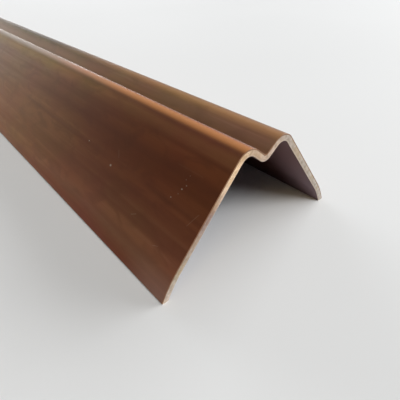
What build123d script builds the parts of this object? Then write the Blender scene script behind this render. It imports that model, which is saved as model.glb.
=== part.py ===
# Rigid PVC angle profile with a grooved corner: two legs that meet in a pair of round
# beads with a groove between them, each leg ending in a lip that curves in to the foot.
# It stands on its two feet with the corner upwards. All sizes are in millimetres.
import os
from math import cos, radians, sin, tan

from build123d import *

os.makedirs("parts", exist_ok=True)

# the stock
stock_length = 1000.0
wall_thickness = 1.4

# the corner
corner_angle = 80.0  # between the flat parts of the two legs
groove_width = 9.9  # from one bead's sharp corner to the other's, before rounding
groove_wall_slope = 40.0  # of the groove's two walls, from level
groove_radius = 0.7  # outside, at the bottom of the groove
bead_radius = 3.5  # outside, over each bead

# the legs
leg_flat_width = 25.5  # from the bead's sharp corner down to where the lip begins
lip_length = 7.0  # along the curve, on the outside
lip_turn = 17.0  # how far the lip curves in, in degrees
foot_edge_radius = 0.3  # along both edges of each foot

# the lip is an arc between two straight runs, so its sharp corner is one tangent along
lip_radius = lip_length / radians(lip_turn)
lip_tangent = lip_radius * tan(radians(lip_turn) / 2)
leg_slope = radians(90.0 - corner_angle / 2)
foot_slope = leg_slope + radians(lip_turn)
leg_run = leg_flat_width + lip_tangent
tip_run = lip_tangent + 3 * wall_thickness  # past the foot, which is cut level below

# the outside line before its corners are rounded, with the floor at height zero
lip_height = lip_tangent * sin(foot_slope)
bead_height = lip_height + leg_run * sin(leg_slope)
groove_height = bead_height - groove_width / 2 * tan(radians(groove_wall_slope))
bead = (groove_width / 2, bead_height)
lip = (bead[0] + leg_run * cos(leg_slope), lip_height)
tip = (lip[0] + tip_run * cos(foot_slope), lip_height - tip_run * sin(foot_slope))

right_half = [bead, lip, tip]
left_half = [(-x, z) for x, z in reversed(right_half)]
outside_line = left_half + [(0.0, groove_height)] + right_half
outside_radii = [lip_radius, bead_radius, groove_radius, bead_radius, lip_radius]

with BuildPart() as angle_profile:
    with BuildSketch(Plane.XZ):
        with BuildLine():
            FilletPolyline(outside_line, radius=outside_radii)
            offset(amount=wall_thickness, side=Side.RIGHT, kind=Kind.INTERSECTION)
        make_face()
    extrude(amount=stock_length / 2, both=True)
    # both feet are cut level, so that the profile stands flat
    split(bisect_by=Plane.XY, keep=Keep.TOP)
    feet = angle_profile.faces().sort_by(Axis.Z)[:2]
    foot_edges = ShapeList(feet[0].edges() + feet[1].edges()).filter_by(Axis.Y)
    fillet(foot_edges, radius=foot_edge_radius)

angle_profile.part.label = "angle_profile"
export_step(angle_profile.part, "parts/angle_profile.step")
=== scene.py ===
from math import cos, radians, sin, tan

import bmesh
import bpy
from mathutils import Matrix, Vector


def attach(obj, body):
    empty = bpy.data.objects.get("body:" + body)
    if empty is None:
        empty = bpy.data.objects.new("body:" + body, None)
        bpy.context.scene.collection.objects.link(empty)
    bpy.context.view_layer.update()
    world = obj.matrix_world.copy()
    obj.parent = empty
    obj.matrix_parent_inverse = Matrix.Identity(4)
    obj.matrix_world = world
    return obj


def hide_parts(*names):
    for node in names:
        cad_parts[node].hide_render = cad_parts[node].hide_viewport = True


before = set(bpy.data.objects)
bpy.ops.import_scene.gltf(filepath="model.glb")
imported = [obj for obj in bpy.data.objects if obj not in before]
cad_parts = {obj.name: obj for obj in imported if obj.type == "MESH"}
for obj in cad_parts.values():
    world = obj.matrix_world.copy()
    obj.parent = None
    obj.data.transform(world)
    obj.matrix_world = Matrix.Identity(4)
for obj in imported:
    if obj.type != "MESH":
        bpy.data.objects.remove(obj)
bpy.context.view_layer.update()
scene = bpy.context.scene
scene.view_settings.view_transform = "Standard"
print("frame loaded")

stockLength = 1.0
sheetWidth = 0.0747  # the outside unrolled, from foot to foot
noiseSpan = (0.3, 0.7)  # where nearly all values of a noise lie

# small helpers for node trees


def addNode(tree, kind, spot, inputs=None, **settings):
    node = tree.nodes.new(kind)
    node.location = spot
    for key, value in settings.items():
        setattr(node, key, value)
    for key, value in (inputs or {}).items():
        if isinstance(value, bpy.types.NodeSocket):
            tree.links.new(value, node.inputs[key])
        else:
            node.inputs[key].default_value = value
    return node


def mixColor(tree, spot, factor, a, b):
    return addNode(tree, "ShaderNodeMix", spot, {0: factor, 6: a, 7: b}, data_type="RGBA").outputs[2]


def maths(tree, spot, operation, a, b=0.0, clamp=False):
    node = addNode(tree, "ShaderNodeMath", spot, {0: a, 1: b}, operation=operation, use_clamp=clamp)
    return node.outputs[0]


def vectorMaths(tree, spot, operation, a, b=(0.0, 0.0, 0.0)):
    return addNode(tree, "ShaderNodeVectorMath", spot, {0: a, 1: b}, operation=operation).outputs


def scaleVector(tree, spot, vector, scale):
    node = addNode(tree, "ShaderNodeVectorMath", spot, {0: vector, "Scale": scale}, operation="SCALE")
    return node.outputs[0]


def remap(tree, spot, value, low, high, toLow=0.0, toHigh=1.0):
    inputs = {"Value": value, "From Min": low, "From Max": high, "To Min": toLow, "To Max": toHigh}
    node = addNode(tree, "ShaderNodeMapRange", spot, inputs, interpolation_type="SMOOTHSTEP")
    return node.outputs["Result"]


def offCenter(tree, spot, value, center):
    x, y = spot
    return maths(tree, (x + 200, y), "ABSOLUTE", maths(tree, (x, y), "SUBTRACT", value, center))


def fromEnds(tree, spot, value, whole):
    # how far it is to the nearer end
    x, y = spot
    return maths(tree, (x + 200, y), "MINIMUM", value, maths(tree, (x, y), "SUBTRACT", whole, value))


def newGroup(name, inputs, output):
    group = bpy.data.node_groups.new(name, "ShaderNodeTree")
    for label, kind, value in inputs:
        socket = group.interface.new_socket(label, in_out="INPUT", socket_type="NodeSocket" + kind)
        if value is not None:
            socket.default_value = value
    group.interface.new_socket(output, in_out="OUTPUT", socket_type="NodeSocketFloat")
    given = addNode(group, "NodeGroupInput", (-900, 0)).outputs
    end = addNode(group, "NodeGroupOutput", (900, 0)).inputs[output]
    return group, given, end


def place(tree, group, spot, inputs):
    return addNode(tree, "ShaderNodeGroup", spot, inputs, node_tree=group).outputs[0]


# effects that several of the finishes share


def makeStreaks():
    # long soft streaks that run along the stock
    group, given, end = newGroup(
        "streaks",
        [("Vector", "Vector", None), ("Across", "Float", 300.0), ("Along", "Float", 20.0),
         ("Detail", "Float", 2.0), ("Wander", "Float", 0.3)],
        "Value")
    stretch = addNode(group, "ShaderNodeCombineXYZ", (-700, -200),
                      {"X": given["Across"], "Y": given["Along"], "Z": given["Across"]})
    stretched = vectorMaths(group, (-500, 0), "MULTIPLY", given["Vector"], stretch.outputs[0])[0]
    noise = addNode(group, "ShaderNodeTexNoise", (-100, 0),
                    {"Vector": stretched, "Scale": 1.0, "Detail": given["Detail"],
                     "Roughness": 0.55, "Distortion": given["Wander"]})
    group.links.new(noise.outputs["Fac"], end)
    return group


def makeSpecks():
    # small round specks, a few in each square of the surface
    group, given, end = newGroup(
        "specks",
        [("Vector", "Vector", None), ("Scale", "Float", 400.0), ("Size", "Float", 0.1),
         ("Share", "Float", 0.1)],
        "Mask")
    cells = addNode(group, "ShaderNodeTexVoronoi", (-500, 0),
                    {"Vector": given["Vector"], "Scale": given["Scale"], "Randomness": 1.0},
                    feature="F1").outputs
    lot = addNode(group, "ShaderNodeSeparateColor", (-300, -200), {"Color": cells["Color"]}).outputs
    chosen = maths(group, (-100, -200), "LESS_THAN", lot["Red"], given["Share"])
    girth = maths(group, (-100, -350), "MULTIPLY", lot["Green"], given["Size"])
    within = maths(group, (100, 0), "LESS_THAN", cells["Distance"], girth)
    group.links.new(maths(group, (300, 0), "MULTIPLY", within, chosen), end)
    return group


def makeStroke():
    # one soft stroke from a start to a stop, for a grain line, a scratch or a speck
    group, given, end = newGroup(
        "stroke",
        [("Vector", "Vector", None), ("Start", "Vector", None), ("Stop", "Vector", None),
         ("Half", "Float", 0.001)],
        "Mask")
    reach = vectorMaths(group, (-650, 100), "SUBTRACT", given["Vector"], given["Start"])[0]
    line = vectorMaths(group, (-650, -150), "SUBTRACT", given["Stop"], given["Start"])[0]
    onLine = vectorMaths(group, (-450, 50), "DOT_PRODUCT", reach, line)["Value"]
    lineSquare = vectorMaths(group, (-450, -150), "DOT_PRODUCT", line, line)["Value"]
    lineShare = maths(group, (-250, 0), "DIVIDE", onLine, lineSquare, clamp=True)
    nearest = scaleVector(group, (-50, -100), line, lineShare)
    gap = vectorMaths(group, (150, 0), "DISTANCE", reach, nearest)["Value"]
    gapShare = maths(group, (350, 0), "DIVIDE", gap, given["Half"])
    group.links.new(remap(group, (550, 0), gapShare, 1.0, 0.0), end)
    return group


def makeDrift():
    # slow drift of tone over the surface
    group, given, end = newGroup("drift", [("Vector", "Vector", None), ("Scale", "Float", 40.0)], "Value")
    noise = addNode(group, "ShaderNodeTexNoise", (-300, 0),
                    {"Vector": given["Vector"], "Scale": given["Scale"], "Detail": 2.0, "Roughness": 0.5})
    group.links.new(remap(group, (100, 0), noise.outputs["Fac"], *noiseSpan), end)
    return group


streaks = makeStreaks()
specks = makeSpecks()
stroke = makeStroke()
drift = makeDrift()
print("shared effects made")

# what the finishes have in common


def newMaterial(name, constants):
    material = bpy.data.materials.new(name)
    material.use_nodes = True
    tree = material.node_tree
    shader = tree.nodes["Principled BSDF"]
    shader.location = (900, 0)
    tree.nodes["Material Output"].location = (1250, 0)
    for key, value in constants.items():
        shader.inputs[key].default_value = value
    where = addNode(tree, "ShaderNodeTexCoord", (-1900, 200)).outputs["Object"]
    return material, tree, shader, where


def unrolled(tree):
    # a place on the unrolled sheet, then its distance from the left foot and from the near end
    sheet = addNode(tree, "ShaderNodeUVMap", (-2300, 0), uv_map="unrolled").outputs[0]
    parts = addNode(tree, "ShaderNodeSeparateXYZ", (-2100, -200), {"Vector": sheet}).outputs
    return sheet, parts["X"], parts["Y"]


def toneRamp(tree, spot, sheetShare, stops):
    node = addNode(tree, "ShaderNodeValToRGB", spot, {"Fac": sheetShare})
    band = node.color_ramp
    while len(band.elements) < len(stops):
        band.elements.new(0.5)
    for element, (across, tone) in zip(band.elements, stops):
        element.position = across / sheetWidth
        element.color = (*tone, 1)
    return node.outputs["Color"]


def toneBase(tree, spot, base, tone, gain):
    x, y = spot
    return vectorMaths(tree, (x + 200, y), "MULTIPLY", base, scaleVector(tree, (x, y), tone, gain))[0]


def drawStrokes(tree, spot, sheet, base, color, strokes):
    # each stroke is its start, its stop, half its width and how strong it is
    x, y = spot
    for start, stop, half, strength in strokes:
        mask = place(tree, stroke, (x, y),
                     {"Vector": sheet, "Start": (*start, 0), "Stop": (*stop, 0), "Half": half})
        shows = maths(tree, (x + 200, y), "MULTIPLY", mask, strength)
        base = mixColor(tree, (x + 400, y), shows, base, color)
        y += 200
    return base


def addRelief(tree, shader, height, relief):
    strength, distance = relief
    bump = addNode(tree, "ShaderNodeBump", (600, -300),
                   {"Strength": strength, "Distance": distance, "Height": height})
    tree.links.new(bump.outputs["Normal"], shader.inputs["Normal"])


# the foil on the outside

# distances on the foil are across from the left foot and along from the near end, in metres
foil = {
    "dark": (0.115, 0.030, 0.010, 1),
    "mid": (0.205, 0.060, 0.020, 1),
    "light": (0.280, 0.102, 0.040, 1),
    "red": (0.195, 0.050, 0.022, 1),
    "olive": (0.175, 0.070, 0.020, 1),
    # painted highlights on the bead crowns: golden by the cut, pale farther along
    "goldCrownHighlight": (0.440, 0.190, 0.062, 1),
    "paleCrownHighlight": (0.46, 0.42, 0.40, 1),
    # painted reflection of the floor on the left foot by the cut
    "foot": (0.330, 0.210, 0.160, 1),
    # painted light: pale along both feet's edge, against the shade under them
    "worn": (0.60, 0.38, 0.26, 1),
    "dust": (0.62, 0.56, 0.48, 1),
    # painted reflection: grey in the groove, strongest farther along
    "grooveGreyReflection": (0.24, 0.205, 0.18, 1),
    "scuff": (0.40, 0.27, 0.19, 1),
    "shader": {
        "IOR": 1.46, "Specular IOR Level": 0.16, "Specular Tint": (1.0, 0.86, 0.72, 1),
        "Sheen Weight": 0.8, "Sheen Roughness": 0.35, "Sheen Tint": (1.0, 0.86, 0.74, 1),
    },
    "roughness": 0.42,
    "roughnessSwing": 0.06,
    "relief": (0.10, 0.00003),  # strength and depth of the fine grain's relief
    "streaks": {
        "broad": {"Across": 230.0, "Along": 11.0, "Detail": 1.5, "Wander": 0.2},
        "narrow": {"Across": 720.0, "Along": 24.0, "Detail": 3.0, "Wander": 0.5},
        "fine": {"Across": 1500.0, "Along": 70.0, "Detail": 2.0, "Wander": 0.2},
        "blotch": {"Across": 300.0, "Along": 120.0, "Detail": 2.0, "Wander": 0.8},
    },
    # the grain's colors over the dark one: which streaks, which color, and how it fades in:
    # the streaks' value from and to, and the color's share from and to
    "layers": [
        ("broad", "mid", (0.36, 0.62, 0.25, 1.0)),
        ("narrow", "light", (0.50, 0.75, 0.0, 0.4)),
        ("narrow", "dark", (0.46, 0.30, 0.0, 0.5)),
        ("blotch", "dark", (0.57, 0.30, 0.0, 0.7)),
    ],
    "tintScale": 55.0,  # the slow drift between red and olive
    "tintShare": 0.35,
    # dark grain lines near the cut: across, half their width, from, to, how dark
    "grainLines": [
        (0.0268, 0.0009, 0.000, 0.022, 0.50),
        (0.0220, 0.0031, 0.004, 0.070, 0.68),
        (0.0163, 0.0009, 0.000, 0.014, 0.50),
        (0.0163, 0.0010, 0.050, 0.080, 0.40),
        (0.0088, 0.0009, 0.007, 0.027, 0.40),
        (0.0052, 0.0016, 0.002, 0.022, 0.35),
    ],
    "lineSqueeze": 10,  # the lines fade this much more slowly along than across
    # tone across the sheet by the cut and farther along, where 1 / toneGain changes nothing; it holds painted
    # highlights on the beads, and farther along a paler painted haze
    "toneGain": 4.0,
    "toneNearAndHighlights": [
        (0.0000, (0.28, 0.14, 0.10)), (0.0040, (0.31, 0.39, 0.58)), (0.0110, (0.18, 0.20, 0.24)),
        (0.0200, (0.14, 0.12, 0.09)), (0.0264, (0.15, 0.13, 0.12)), (0.0290, (0.27, 0.33, 0.41)),
        (0.0306, (0.13, 0.11, 0.17)), (0.0320, (0.63, 0.46, 0.22)), (0.0335, (0.17, 0.08, 0.02)),
        (0.0380, (0.23, 0.33, 0.38)), (0.0400, (0.38, 0.62, 1.00)), (0.0422, (0.38, 0.72, 0.95)),
        (0.0436, (0.15, 0.19, 0.12)), (0.0457, (0.15, 0.18, 0.22)), (0.0547, (0.12, 0.11, 0.09)),
        (0.0707, (0.17, 0.20, 0.26)),
    ],
    "toneFarAndHaze": [
        (0.0000, (0.35, 0.36, 0.18)), (0.0040, (0.39, 0.52, 0.36)), (0.0120, (0.37, 0.49, 0.49)),
        (0.0220, (0.33, 0.48, 0.57)), (0.0270, (0.32, 0.56, 0.80)), (0.0296, (0.47, 1.00, 1.00)),
        (0.0312, (0.30, 0.65, 0.95)), (0.0328, (0.17, 0.33, 0.50)), (0.0360, (0.22, 0.36, 0.44)),
        (0.0390, (0.64, 1.00, 1.00)), (0.0408, (0.28, 0.66, 1.00)), (0.0424, (0.03, 0.09, 0.18)),
        (0.0436, (0.03, 0.04, 0.06)), (0.0457, (0.16, 0.20, 0.24)), (0.0547, (0.15, 0.17, 0.18)),
        (0.0707, (0.19, 0.22, 0.20)),
    ],
    "hazeFade": (0.020, 0.116),  # the far tone comes in between these distances along
    "hazeBackFade": (0.18, 0.60),  # and part of it goes again between these
    "hazeBackShare": 0.45,
    # the groove's grey painted reflection, strongest farther along: how far from its middle it ends and is
    # full, its share, its share by the cut
    "grooveReach": (0.0044, 0.0018),
    "grooveShare": 0.65,
    "grooveByCut": 0.2,
    # the bead crowns with a painted highlight: across, half the width, how golden by the cut, how pale
    # farther along
    "crowns": [(0.0318, 0.0018, 0.80, 0.40), (0.0424, 0.0022, 0.36, 0.0)],
    "crownCore": 0.0002,
    "crownFade": (0.030, 0.110),  # golden turns to pale between these distances along
    "duller": (0.26, 0.10),  # how much rougher the crowns are by the cut and farther along
    "dullerFade": (0.020, 0.090),
    # the left foot's pinkish painted reflection of the floor by the cut: how far it reaches across and along,
    # and its share
    "footReflectionReach": (0.0070, 0.016),
    "footReflectionShare": 0.6,
    # the pale painted light along each foot's edge, where shade falls: how far it reaches, and its share
    "footLightReach": 0.0005,
    "footLightShare": 0.8,
    # scratches near the cut: start, stop, half their width, how pale
    "scratches": [
        ((0.0147, 0.0030), (0.0176, 0.0018), 0.00010, 0.20),
        ((0.0236, 0.0052), (0.0234, 0.0120), 0.00022, 0.03),
        ((0.0103, 0.0158), (0.0096, 0.0170), 0.00014, 0.24),
        ((0.0083, 0.0066), (0.0078, 0.0078), 0.00012, 0.22),
        ((0.0176, 0.0290), (0.0190, 0.0302), 0.00012, 0.20),
    ],
    # specks of dust near the cut: where, how big, how pale
    "dustSpots": [
        ((0.0207, 0.0075), 0.00016, 0.30), ((0.0216, 0.0083), 0.00013, 0.22),
        ((0.0197, 0.0081), 0.00022, 0.45), ((0.0186, 0.0084), 0.00013, 0.25),
        ((0.0173, 0.0096), 0.00017, 0.42), ((0.0226, 0.0079), 0.00011, 0.20),
        ((0.0151, 0.0303), 0.00036, 0.50),
    ],
    "specks": {"Scale": 300.0, "Size": 0.06, "Share": 0.04},
}


def layGrain(tree, f, sheet, where, grain):
    base = f["dark"]
    for row, (name, color, fade) in enumerate(f["layers"]):
        shows = remap(tree, (-1500, 300 + 200 * row), grain[name], *fade)
        base = mixColor(tree, (-1300, 300 + 200 * row), shows, base, f[color])
    slow = place(tree, drift, (-1700, 1100), {"Vector": where, "Scale": f["tintScale"]})
    tint = mixColor(tree, (-1500, 1100), slow, f["red"], f["olive"])
    base = mixColor(tree, (-1100, 1100), f["tintShare"], base, tint)

    # the grain lines are long, so they are drawn on a sheet squeezed along its length
    squeeze = f["lineSqueeze"]
    squeezed = vectorMaths(tree, (-1500, 1400), "MULTIPLY", sheet, (1.0, 1 / squeeze, 1.0))[0]
    lines = [((across, start / squeeze), (across, stop / squeeze), half, dark)
             for across, half, start, stop, dark in f["grainLines"]]
    return drawStrokes(tree, (-1100, 1400), squeezed, base, f["dark"], lines)


def toneFoil(tree, f, base, across, along):
    # the tone drifts across the sheet and along it, with painted highlights on the beads and a paler painted
    # haze farther along, and the groove gets a grey painted reflection
    sheetShare = maths(tree, (-1500, -1600), "DIVIDE", across, sheetWidth)
    byCut = toneRamp(tree, (-1300, -1600), sheetShare, f["toneNearAndHighlights"])
    farToneAndHaze = toneRamp(tree, (-1300, -1900), sheetShare, f["toneFarAndHaze"])
    farHazeShare = maths(tree, (-1100, -2200), "SUBTRACT", remap(tree, (-1300, -2200), along, *f["hazeFade"]),
                    remap(tree, (-1300, -2400), along, *f["hazeBackFade"], 0.0, f["hazeBackShare"]))
    tone = mixColor(tree, (-1000, -1700), farHazeShare, byCut, farToneAndHaze)
    base = toneBase(tree, (-800, -1600), base, tone, f["toneGain"])

    # painted reflection: the groove turns grey, most farther along
    offGroove = offCenter(tree, (-1500, -2700), across, sheetWidth / 2)
    grooveGrey = remap(tree, (-1100, -2700), offGroove, *f["grooveReach"], 0.0, f["grooveShare"])
    grooveGrey = maths(tree, (-900, -2600), "MULTIPLY", grooveGrey,
                 maths(tree, (-1100, -2500), "MAXIMUM", farHazeShare, f["grooveByCut"]))
    return mixColor(tree, (-450, -1600), grooveGrey, base, f["grooveGreyReflection"])


def paintFoilLight(tree, f, base, across, along):
    # painted highlight on the bead crowns, golden by the cut and pale farther along; the crowns are also made
    # rougher
    crownMask = 0.0
    fadeFrom, fadeTo = f["crownFade"]
    for row, (crown, half, golden, pale) in enumerate(f["crowns"]):
        y = -700 - 400 * row
        onCrown = remap(tree, (-1100, y), offCenter(tree, (-1500, y), across, crown), half, f["crownCore"])
        crownMask = maths(tree, (-700, y + 100), "ADD", crownMask, onCrown)
        for drop, color, fade in (
            (0, "goldCrownHighlight", remap(tree, (-1100, y - 100), along, fadeTo, fadeFrom, 0.0, golden)),
            (100, "paleCrownHighlight", remap(tree, (-1100, y - 200), along, fadeFrom, fadeTo, 0.0, pale)),
        ):
            shows = maths(tree, (-900, y - drop), "MULTIPLY", onCrown, fade)
            base = mixColor(tree, (-400, y - drop), shows, base, f[color])

    # painted reflection: the left foot is pinkish by the cut, where it mirrors the floor; and painted light
    # makes both feet pale along their edge, where shade falls
    acrossReach, alongReach = f["footReflectionReach"]
    floorReflection = maths(tree, (-900, -1300), "MULTIPLY", remap(tree, (-1100, -1200), across, acrossReach, 0.0),
                 remap(tree, (-1100, -1400), along, alongReach, 0.0, 0.0, f["footReflectionShare"]))
    base = mixColor(tree, (-200, 100), floorReflection, base, f["foot"])
    # painted light along both feet's edge, where the shade under the foot falls
    fromFoot = fromEnds(tree, (-1100, -1550), across, sheetWidth)
    pale = remap(tree, (-700, -1450), fromFoot, f["footLightReach"], 0.0, 0.0, f["footLightShare"])
    return mixColor(tree, (-100, -100), pale, base, f["worn"]), crownMask


def makeFoil(f):
    material, tree, shader, where = newMaterial("woodFoil", f["shader"])
    sheet, across, along = unrolled(tree)
    grain = {name: place(tree, streaks, (-1700, 200 * row), {"Vector": sheet, **values})
             for row, (name, values) in enumerate(f["streaks"].items())}
    base = layGrain(tree, f, sheet, where, grain)
    base = toneFoil(tree, f, base, across, along)
    base, crownMask = paintFoilLight(tree, f, base, across, along)

    base = drawStrokes(tree, (-200, 900), sheet, base, f["scuff"], f["scratches"])
    spots = [((x, y), (x, y + half / 2), half, pale) for (x, y), half, pale in f["dustSpots"]]
    base = drawStrokes(tree, (-200, -2000), sheet, base, f["dust"], spots)
    dusty = place(tree, specks, (-200, -300), {"Vector": sheet, **f["specks"]})
    base = mixColor(tree, (500, 300), dusty, base, f["dust"])
    tree.links.new(base, shader.inputs["Base Color"])

    swing = f["roughnessSwing"]
    rough = remap(tree, (500, 0), grain["narrow"], *noiseSpan,
                  f["roughness"] + swing, f["roughness"] - swing)
    duller = maths(tree, (600, -100), "MULTIPLY", crownMask,
                   remap(tree, (400, -100), along, *f["dullerFade"], *f["duller"]))
    tree.links.new(maths(tree, (700, 0), "ADD", rough, duller), shader.inputs["Roughness"])
    addRelief(tree, shader, grain["fine"], f["relief"])
    return material


# the bare plastic: the inside and the feet

plastic = {
    # painted light: paler tones inside by each cut, the lower one paler still
    "mouthLightHigh": (0.140, 0.070, 0.070, 1),
    "mouthLightLow": (0.190, 0.127, 0.140, 1),
    # painted shade: dark brown for the inside deeper in
    "shadeBrown": (0.050, 0.022, 0.018, 1),
    "dark": (0.042, 0.012, 0.010, 1),
    "shader": {"IOR": 1.5, "Specular IOR Level": 0.18},
    "roughness": 0.45,
    "roughnessSwing": 0.06,
    "relief": (0.2, 0.00003),  # strength and depth of the drawn lines' relief
    "lines": {"Across": 900.0, "Along": 8.0, "Detail": 3.0, "Wander": 0.0},
    "lineFade": (0.5, 0.7, 0.0, 0.3),  # the lines' value from and to, and the dark one's share
    "driftScale": 90.0,
    "mouthLightReach": (0.014, 0.0005),  # painted light: the inside is paler by each cut, where light comes in, and painted shade deeper in: where it ends and is full
    "mouthLightHeights": (0.018, 0.003),  # how high its two tones lie
}


def makePlastic(p):
    material, tree, shader, where = newMaterial("barePlastic", p["shader"])
    along = unrolled(tree)[2]
    lines = place(tree, streaks, (-1100, 200), {"Vector": where, **p["lines"]})
    slow = place(tree, drift, (-1100, -100), {"Vector": where, "Scale": p["driftScale"]})
    # painted shade: dark brown and darker, mixed at random, for the inside away from the cuts
    base = mixColor(tree, (-500, 200), slow, p["shadeBrown"], p["dark"])
    base = mixColor(tree, (-300, 200), remap(tree, (-700, 0), lines, *p["lineFade"]), base, p["dark"])

    # painted light: paler by each cut and palest low down, where light comes into the inside
    height = addNode(tree, "ShaderNodeSeparateXYZ", (-900, -900), {"Vector": where}).outputs["Z"]
    mouthLight = mixColor(tree, (-300, -500), remap(tree, (-500, -900), height, *p["mouthLightHeights"]),
                       p["mouthLightHigh"], p["mouthLightLow"])
    fromCut = fromEnds(tree, (-1300, -500), along, stockLength)
    dusty = remap(tree, (-900, -500), fromCut, *p["mouthLightReach"])
    tree.links.new(mixColor(tree, (-100, 200), dusty, base, mouthLight), shader.inputs["Base Color"])

    swing = p["roughnessSwing"]
    rough = remap(tree, (-300, 0), slow, 0.0, 1.0, p["roughness"] - swing, p["roughness"] + swing)
    tree.links.new(rough, shader.inputs["Roughness"])
    addRelief(tree, shader, lines, p["relief"])
    return material


# the sawn ends, which the saw left pale and mottled

sawn = {
    "pale": (0.66, 0.50, 0.38, 1),
    "deep": (0.46, 0.33, 0.235, 1),
    "tan": (0.60, 0.40, 0.23, 1),
    "pore": (0.22, 0.14, 0.10, 1),
    "rim": (0.80, 0.66, 0.54, 1),
    "film": (0.200, 0.088, 0.036, 1),
    "shader": {"IOR": 1.45},
    "roughness": 0.75,
    "roughnessSwing": 0.1,
    "relief": (0.5, 0.00006),  # strength and depth of the mottle and the saw marks
    # two noises: the values between which the color of each fades in, and that color's share
    "mottle": {"Scale": 900.0, "Detail": 3.0, "Roughness": 0.6},
    "mottleFade": (0.35, 0.65, 0.0, 1.0),
    "blush": {"Scale": 260.0, "Detail": 2.0, "Roughness": 0.5},
    "blushFade": (0.45, 0.70, 0.0, 0.7),
    "sawMarks": {"Across": 3200.0, "Along": 0.0, "Detail": 1.0, "Wander": 0.1},
    "sawTilt": 35.0,
    "pores": {"Scale": 3200.0, "Size": 0.35, "Share": 0.3},
    "poreShare": 0.5,
    # tone round the section, where 1 / toneGain changes nothing
    "toneGain": 2.0,
    "toneAcross": [
        (0.0000, (0.64, 0.70, 0.80)), (0.0060, (0.38, 0.42, 0.42)), (0.0120, (0.36, 0.36, 0.38)),
        (0.0185, (0.27, 0.24, 0.28)), (0.0230, (0.60, 0.58, 0.54)), (0.0270, (0.78, 0.76, 0.66)),
        (0.0300, (0.66, 0.60, 0.48)), (0.0340, (0.44, 0.43, 0.42)), (0.0390, (0.51, 0.50, 0.51)),
        (0.0440, (0.41, 0.45, 0.50)), (0.0747, (0.40, 0.47, 0.54)),
    ],
    # by depth in the wall, from 0 outside to 1 inside: the pale inner rim and the foil's film,
    # each with the depths between which it fades in and its share
    "rimFade": (0.74, 0.90, 0.0, 0.35),
    "filmFade": (0.20, 0.12, 0.0, 0.9),
}


def makeSawn(s):
    material, tree, shader, where = newMaterial("sawnPlastic", s["shader"])
    across = unrolled(tree)[1]
    depth = addNode(tree, "ShaderNodeAttribute", (-1500, -400), attribute_name="depth").outputs["Fac"]
    mottle, blush = [
        addNode(tree, "ShaderNodeTexNoise", (-1200, y), {"Vector": where, **s[name]}).outputs["Fac"]
        for name, y in (("mottle", 300), ("blush", 0))]
    pores = place(tree, specks, (-1200, -200), {"Vector": where, **s["pores"]})
    base = mixColor(tree, (-700, 300), remap(tree, (-1000, 300), mottle, *s["mottleFade"]),
                    s["pale"], s["deep"])
    base = mixColor(tree, (-500, 300), remap(tree, (-1000, 0), blush, *s["blushFade"]), base, s["tan"])
    base = mixColor(tree, (-300, 300), maths(tree, (-500, 0), "MULTIPLY", pores, s["poreShare"]),
                    base, s["pore"])
    sheetShare = maths(tree, (-1100, -700), "DIVIDE", across, sheetWidth)
    base = toneBase(tree, (-600, -700), base, toneRamp(tree, (-900, -700), sheetShare, s["toneAcross"]),
                    s["toneGain"])
    base = mixColor(tree, (-100, 300), remap(tree, (-700, -300), depth, *s["rimFade"]), base, s["rim"])
    base = mixColor(tree, (100, 300), remap(tree, (-700, -500), depth, *s["filmFade"]), base, s["film"])
    tree.links.new(base, shader.inputs["Base Color"])

    swing = s["roughnessSwing"]
    rough = remap(tree, (-300, 0), mottle, *noiseSpan, s["roughness"] - swing, s["roughness"] + swing)
    tree.links.new(rough, shader.inputs["Roughness"])
    turned = addNode(tree, "ShaderNodeMapping", (-1500, 600),
                     {"Vector": where, "Rotation": (0.0, radians(s["sawTilt"]), 0.0)}).outputs[0]
    marks = place(tree, streaks, (-1200, 600), {"Vector": turned, **s["sawMarks"]})
    addRelief(tree, shader, maths(tree, (300, -300), "ADD", mottle, marks), s["relief"])
    return material


# the thin edge of the foil, round the sawn ends and along the feet

foilEdge = {
    "color": (0.22, 0.095, 0.038, 1),
    "worn": (0.34, 0.165, 0.070, 1),
    "shader": {"IOR": 1.5},
    "driftScale": 500.0,
    "roughness": (0.32, 0.50),  # where it is sound and where it is worn
}


def makeFoilEdge(e):
    material, tree, shader, where = newMaterial("foilEdge", e["shader"])
    worn = place(tree, drift, (-900, 0), {"Vector": where, "Scale": e["driftScale"]})
    tree.links.new(mixColor(tree, (-500, 200), worn, e["color"], e["worn"]), shader.inputs["Base Color"])
    tree.links.new(remap(tree, (-500, 0), worn, 0.0, 1.0, *e["roughness"]), shader.inputs["Roughness"])
    return material


finishes = {
    "foil": makeFoil(foil),
    "plastic": makePlastic(plastic),
    "sawn": makeSawn(sawn),
    "foilEdge": makeFoilEdge(foilEdge),
}
print("finishes made")

# the profile

profile = {
    "wall": 0.0014,
    "cornerAngle": 80.0,
    "grooveWidth": 0.0099,
    "grooveSlope": 40.0,
    "grooveRadius": 0.0007,
    "beadRadius": 0.0035,
    "legFlat": 0.0255,
    "lipLength": 0.007,
    "lipTurn": 17.0,
    "spare": 0.0042,  # drawn past the feet and cut off level
    "footRadius": 0.0003,
    "sawnEdge": 0.00007,
    "sharpAbove": 35.0,  # edges that turn by more than this stay crisp
    # how many steps each rounding has
    "beadSteps": 24,
    "grooveSteps": 12,
    "lipSteps": 14,
    "footSteps": 5,
    "sawnSteps": 2,
}
tiny = 1e-6  # a length under this counts as none


def lengthwise(bm, x):
    # edges that run along the stock at this distance to either side of the middle
    found = []
    for edge in bm.edges:
        a, b = edge.verts[0].co, edge.verts[1].co
        if abs(a.x - b.x) < tiny and abs(a.z - b.z) < tiny and abs(abs(a.x) - x) < tiny:
            found.append(edge)
    return found


def bevelEdges(bm, edges, offset, segments):
    bmesh.ops.bevel(bm, geom=edges, offset=offset, offset_type="OFFSET", segments=segments,
                    profile=0.5, affect="EDGES", material=-1, clamp_overlap=False)


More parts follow.
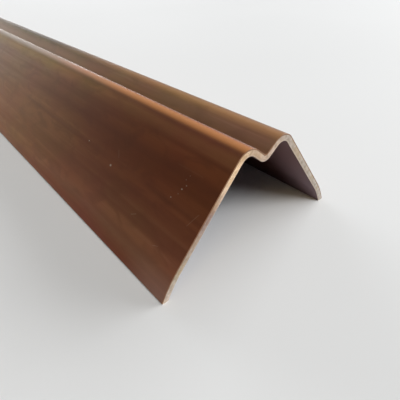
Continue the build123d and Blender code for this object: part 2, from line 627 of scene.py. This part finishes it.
def roundOver(bm, edges, radius, turn, segments):
    bevelEdges(bm, edges, radius * tan(turn / 2), segments)


def drawOutline(bm, runs, lipHeight):
    # the outside line, from the middle of the groove to past the right foot, then mirrored
    corners = [bm.verts.new((0, -stockLength / 2, 0))]
    for run, slope in runs:
        tip = bmesh.ops.extrude_vert_indiv(bm, verts=[corners[-1]])["verts"][0]
        bmesh.ops.translate(bm, verts=[tip], vec=(run * cos(slope), 0, -run * sin(slope)))
        corners.append(tip)
    bmesh.ops.translate(bm, verts=bm.verts[:], vec=(0, 0, lipHeight - corners[2].co.z))
    lipX = corners[2].co.x
    bmesh.ops.mirror(bm, geom=bm.verts[:] + bm.edges[:], axis="X", merge_dist=tiny)
    return lipX


def easeFeet(bm, p, footSlope):
    # both feet are level, and first their outer edges are rounded, then their inner ones
    reaches = []
    for pick, turn in ((max, radians(180) - footSlope), (min, footSlope)):
        feet = [f for f in bm.faces if f.normal.z < -0.99 and all(abs(v.co.z) < tiny for v in f.verts)]
        edges = {e for f in feet for e in f.edges if abs(e.verts[0].co.x - e.verts[1].co.x) < tiny}
        reach = pick(abs(e.verts[0].co.x) for e in edges)
        roundOver(bm, [e for e in edges if abs(abs(e.verts[0].co.x) - reach) < 10 * tiny],
                  p["footRadius"], turn, p["footSteps"])
        reaches.append(reach)
    return reaches[0]


def chooseFinish(face, outerFoot):
    # the broken edge round an end shows the foil's edge outside and is sawn inside
    towardEnd = abs(face.normal.y)
    onOuterFoot = any(abs(v.co.x) > outerFoot - 10 * tiny for v in face.verts)
    if towardEnd > 0.9:
        return "sawn"
    if face.normal.z > 0.02:
        return "foilEdge" if towardEnd > 0.05 else "foil"
    if towardEnd < 0.05:
        return "foilEdge" if onOuterFoot else "plastic"
    return "sawn"


def layPattern(bm, outline, p):
    # unrolls the outside for the foil, and gives each point its depth in the wall
    corners = [Vector((x, 0, z)) for x, z in outline]
    runs = [0.0]
    for a, b in zip(corners, corners[1:]):
        runs.append(runs[-1] + (b - a).length)
    foot = runs[1] * -corners[0].z / (corners[1].z - corners[0].z)
    sheet = bm.loops.layers.uv.new("unrolled")
    depth = bm.verts.layers.float.new("depth")
    for vert in bm.verts:
        flat = Vector((vert.co.x, 0, vert.co.z))
        spots = []
        for run, a, b in zip(runs, corners, corners[1:]):
            onRun = min(max((flat - a).dot(b - a) / (b - a).length_squared, 0.0), 1.0)
            spots.append(((flat - a.lerp(b, onRun)).length, run + onRun * (b - a).length))
        gap, across = min(spots)
        vert[depth] = gap / p["wall"]
        for loop in vert.link_loops:
            loop[sheet].uv = (across - foot, vert.co.y + stockLength / 2)


def makeProfile(p):
    legSlope = radians(90 - p["cornerAngle"] / 2)
    lipTurn = radians(p["lipTurn"])
    footSlope = legSlope + lipTurn
    grooveSlope = radians(p["grooveSlope"])
    lipRadius = p["lipLength"] / lipTurn
    lipTangent = lipRadius * tan(lipTurn / 2)

    bm = bmesh.new()
    lipX = drawOutline(bm, [
        (p["grooveWidth"] / 2 / cos(grooveSlope), -grooveSlope),
        (p["legFlat"] + lipTangent, legSlope),
        (lipTangent + p["spare"], footSlope),
    ], lipTangent * sin(footSlope))

    # drawn out to its length, its corners rounded, and its wall given inwards
    drawn = bmesh.ops.extrude_edge_only(bm, edges=bm.edges[:])["geom"]
    bmesh.ops.translate(bm, verts=[v for v in drawn if isinstance(v, bmesh.types.BMVert)],
                        vec=(0, stockLength, 0))
    bmesh.ops.recalc_face_normals(bm, faces=bm.faces[:])
    if sum(f.normal.z for f in bm.faces) < 0:
        bmesh.ops.reverse_faces(bm, faces=bm.faces[:])
    for x, radius, turn, steps in (
        (p["grooveWidth"] / 2, p["beadRadius"], grooveSlope + legSlope, p["beadSteps"]),
        (0, p["grooveRadius"], 2 * grooveSlope, p["grooveSteps"]),
        (lipX, lipRadius, lipTurn, p["lipSteps"]),
    ):
        roundOver(bm, lengthwise(bm, x), radius, turn, steps)
    outline = sorted({(round(v.co.x, 7), round(v.co.z, 7)) for v in bm.verts})
    bmesh.ops.solidify(bm, geom=bm.faces[:], thickness=p["wall"])
    bmesh.ops.recalc_face_normals(bm, faces=bm.faces[:])

    # the feet are cut level and their edges eased
    bmesh.ops.bisect_plane(bm, geom=bm.verts[:] + bm.edges[:] + bm.faces[:], dist=tiny,
                           plane_co=(0, 0, 0), plane_no=(0, 0, -1), clear_outer=True)
    bmesh.ops.holes_fill(bm, edges=[e for e in bm.edges if e.is_boundary], sides=0)
    outerFoot = easeFeet(bm, p, footSlope)

    # the sawn ends, with a small broken edge all round
    ends = [f for f in bm.faces if abs(f.normal.y) > 0.99]
    rim = {e for f in ends for e in f.edges if any(abs(g.normal.y) < 0.5 for g in e.link_faces)}
    bevelEdges(bm, list(rim), p["sawnEdge"], p["sawnSteps"])
    bmesh.ops.recalc_face_normals(bm, faces=bm.faces[:])

    order = list(finishes)
    for face in bm.faces:
        face.smooth = True
        face.material_index = order.index(chooseFinish(face, outerFoot))
    layPattern(bm, outline, p)
    mesh = bpy.data.meshes.new("angleProfile")
    bm.to_mesh(mesh)
    bm.free()
    mesh.set_sharp_from_angle(angle=radians(p["sharpAbove"]))
    for material in finishes.values():
        mesh.materials.append(material)
    piece = bpy.data.objects.new("angleProfile", mesh)
    scene.collection.objects.link(piece)
    return piece


angleProfile = makeProfile(profile)
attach(angleProfile, "root")
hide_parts("angle_profile")
print("profile made:", len(angleProfile.data.polygons), "faces")

# the floor, the light and the camera

studio = {
    "floorSize": 24.0,
    "floor": (0.80, 0.80, 0.80, 1),
    "floorShade": (0.776, 0.776, 0.776, 1),
    "shader": {"Roughness": 0.8, "IOR": 1.3},
    "driftScale": 3.0,
    "sky": (0.86, 0.90, 0.96, 1),
    "skyStrength": 0.09,
    "backdrop": (0.78, 0.79, 0.80, 1),
    "fade": (0.75, 1.7),  # the floor turns to the backdrop between these distances from the middle
    # place, size, power and color of each lamp
    "lamps": {
        "window": ((4.0, -0.99, 1.9), (5.0, 2.2), 204.0, (0.98, 1.0, 1.02)),
        "back": ((0.8, 3.85, 0.84), (4.8, 1.4), 140.0, (0.98, 1.0, 1.02)),
        "front": ((0.37, -3.07, 3.26), (2.6, 1.0), 93.0, (0.98, 1.0, 1.02)),
        "left": ((-2.45, -2.1, 3.52), (2.0, 1.2), 17.0, (1.0, 0.75, 0.30)),
    },
    "aim": (0.0, -0.3, 0.0),  # where all the lamps point, by the near part of the stock
}


def backdropShows(tree, spot):
    # the backdrop shows to the camera, in gloss and through glass, and adds no other light
    x, y = spot
    rays = addNode(tree, "ShaderNodeLightPath", (x, y)).outputs
    mirrored = maths(tree, (x + 200, y), "MAXIMUM", rays["Is Glossy Ray"], rays["Is Transmission Ray"])
    return maths(tree, (x + 400, y), "MAXIMUM", rays["Is Camera Ray"], mirrored)


def makeFloor(s):
    bm = bmesh.new()
    bmesh.ops.create_grid(bm, x_segments=1, y_segments=1, size=s["floorSize"] / 2)
    mesh = bpy.data.meshes.new("floor")
    bm.to_mesh(mesh)
    bm.free()
    floor = bpy.data.objects.new("floor", mesh)
    scene.collection.objects.link(floor)
    material, tree, shader, where = newMaterial("floorPaint", s["shader"])
    tone = place(tree, drift, (-900, 0), {"Vector": where, "Scale": s["driftScale"]})
    tree.links.new(mixColor(tree, (-500, 0), tone, s["floor"], s["floorShade"]), shader.inputs["Base Color"])

    backdrop = addNode(tree, "ShaderNodeEmission", (900, -400), {"Color": s["backdrop"]})
    away = vectorMaths(tree, (-900, -400), "LENGTH", where)["Value"]
    faded = maths(tree, (900, 400), "MULTIPLY", remap(tree, (-500, -400), away, *s["fade"]),
                  backdropShows(tree, (300, 500)))
    both = addNode(tree, "ShaderNodeMixShader", (1150, 200),
                   {0: faded, 1: shader.outputs[0], 2: backdrop.outputs[0]})
    tree.links.new(both.outputs[0], tree.nodes["Material Output"].inputs["Surface"])
    mesh.materials.append(material)
    return floor


def makeWorld(s):
    world = bpy.data.worlds.new("studio")
    scene.world = world
    world.use_nodes = True
    tree = world.node_tree
    sky = tree.nodes["Background"]
    sky.inputs["Color"].default_value = s["sky"]
    sky.inputs["Strength"].default_value = s["skyStrength"]
    backdrop = addNode(tree, "ShaderNodeBackground", (-200, -300), {"Color": s["backdrop"]})
    both = addNode(tree, "ShaderNodeMixShader", (100, 0),
                   {0: backdropShows(tree, (-500, 300)), 1: sky.outputs[0], 2: backdrop.outputs[0]})
    tree.links.new(both.outputs[0], tree.nodes["World Output"].inputs["Surface"])


def makeLamps(s):
    for name, (spot, size, power, color) in s["lamps"].items():
        light = bpy.data.lights.new(name, "AREA")
        light.color = color
        light.shape = "RECTANGLE"
        light.size, light.size_y = size
        light.energy = power
        lamp = bpy.data.objects.new(name, light)
        scene.collection.objects.link(lamp)
        turn = (Vector(s["aim"]) - Vector(spot)).to_track_quat("-Z", "Y")
        lamp.matrix_world = Matrix.Translation(spot) @ turn.to_matrix().to_4x4()


floor = makeFloor(studio)
makeWorld(studio)
makeLamps(studio)

photoView = {
    "place": (-0.04551, -0.534604, 0.052047),
    "yaw": 40.6716,
    "pitch": 35.9788,
    "roll": -0.2611,
    "lens": 31.5406,
    "sensor": 36.0,
    "clipFrom": 0.002,
}


def makeCamera(v):
    data = bpy.data.cameras.new("photoView")
    data.lens = v["lens"]
    data.sensor_width = v["sensor"]
    data.clip_start = v["clipFrom"]
    camera = bpy.data.objects.new("photoView", data)
    scene.collection.objects.link(camera)
    camera.matrix_world = (Matrix.Translation(v["place"]) @ Matrix.Rotation(-radians(v["yaw"]), 4, "Z")
                           @ Matrix.Rotation(radians(90 - v["pitch"]), 4, "X")
                           @ Matrix.Rotation(radians(v["roll"]), 4, "Z"))
    scene.camera = camera


makeCamera(photoView)
print("studio and camera made")
